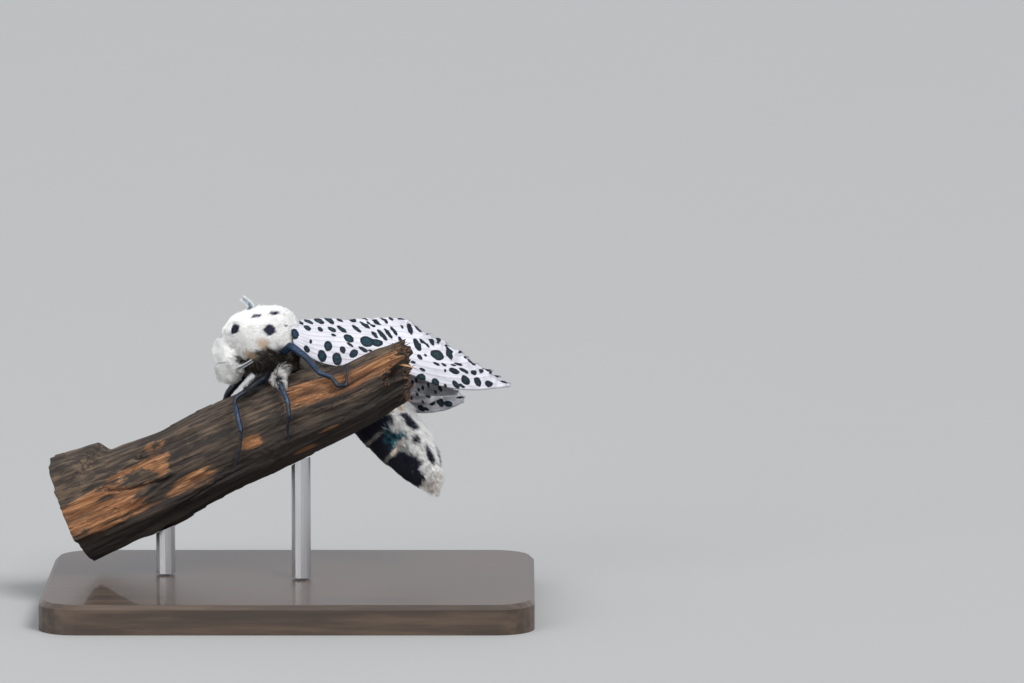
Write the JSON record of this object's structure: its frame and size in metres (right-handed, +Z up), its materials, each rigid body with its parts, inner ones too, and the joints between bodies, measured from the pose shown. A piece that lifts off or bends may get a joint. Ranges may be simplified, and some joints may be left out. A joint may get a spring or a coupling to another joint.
{
  "type": "leopard moth",
  "caption": "Life-size still model of a leopard moth gripping a broken branch tip, wings folded like a roof and abdomen bent down, on a small flat stand with rods.",
  "frame": {"origin": "middle of the underside of the display base, level with what it stands on", "axes": "+Z up, +X along the branch towards its broken tip, -Y towards the moth's left side"},
  "size_m": [0.066, 0.044, 0.0414],
  "materials": {
    "coat": "woolly white scales and hair with blue-black spots",
    "abdomen": "blue-black scaled bands between pale ones, white hair above",
    "wing": "satin white scales with dark teal spots",
    "leg": "metallic blue-black scales",
    "eye": "glossy dark brown",
    "antenna": "pale blue-grey down",
    "perch": "weathered, split dead wood",
    "base": "dark stained, satin lacquer",
    "rod": "brushed"
  },
  "bodies": {
    "root": {"head": "coat", "eye_left": "eye", "eye_right": "eye", "antenna_left": "antenna", "antenna_right": "antenna", "thorax": "coat", "abdomen_front": "abdomen", "abdomen_middle": "abdomen", "abdomen_rear": "abdomen", "forewing_left": "wing", "forewing_right": "wing", "hindwing_left": "wing", "hindwing_right": "wing", "foreleg_left": "leg", "foreleg_right": "leg", "midleg_left": "leg", "midleg_right": "leg", "hindleg_left": "leg", "hindleg_right": "leg", "perch_branch": "perch", "stand_base": "base", "stand_rod_left": "rod", "stand_rod_right": "rod"}
  },
  "joints": []
}
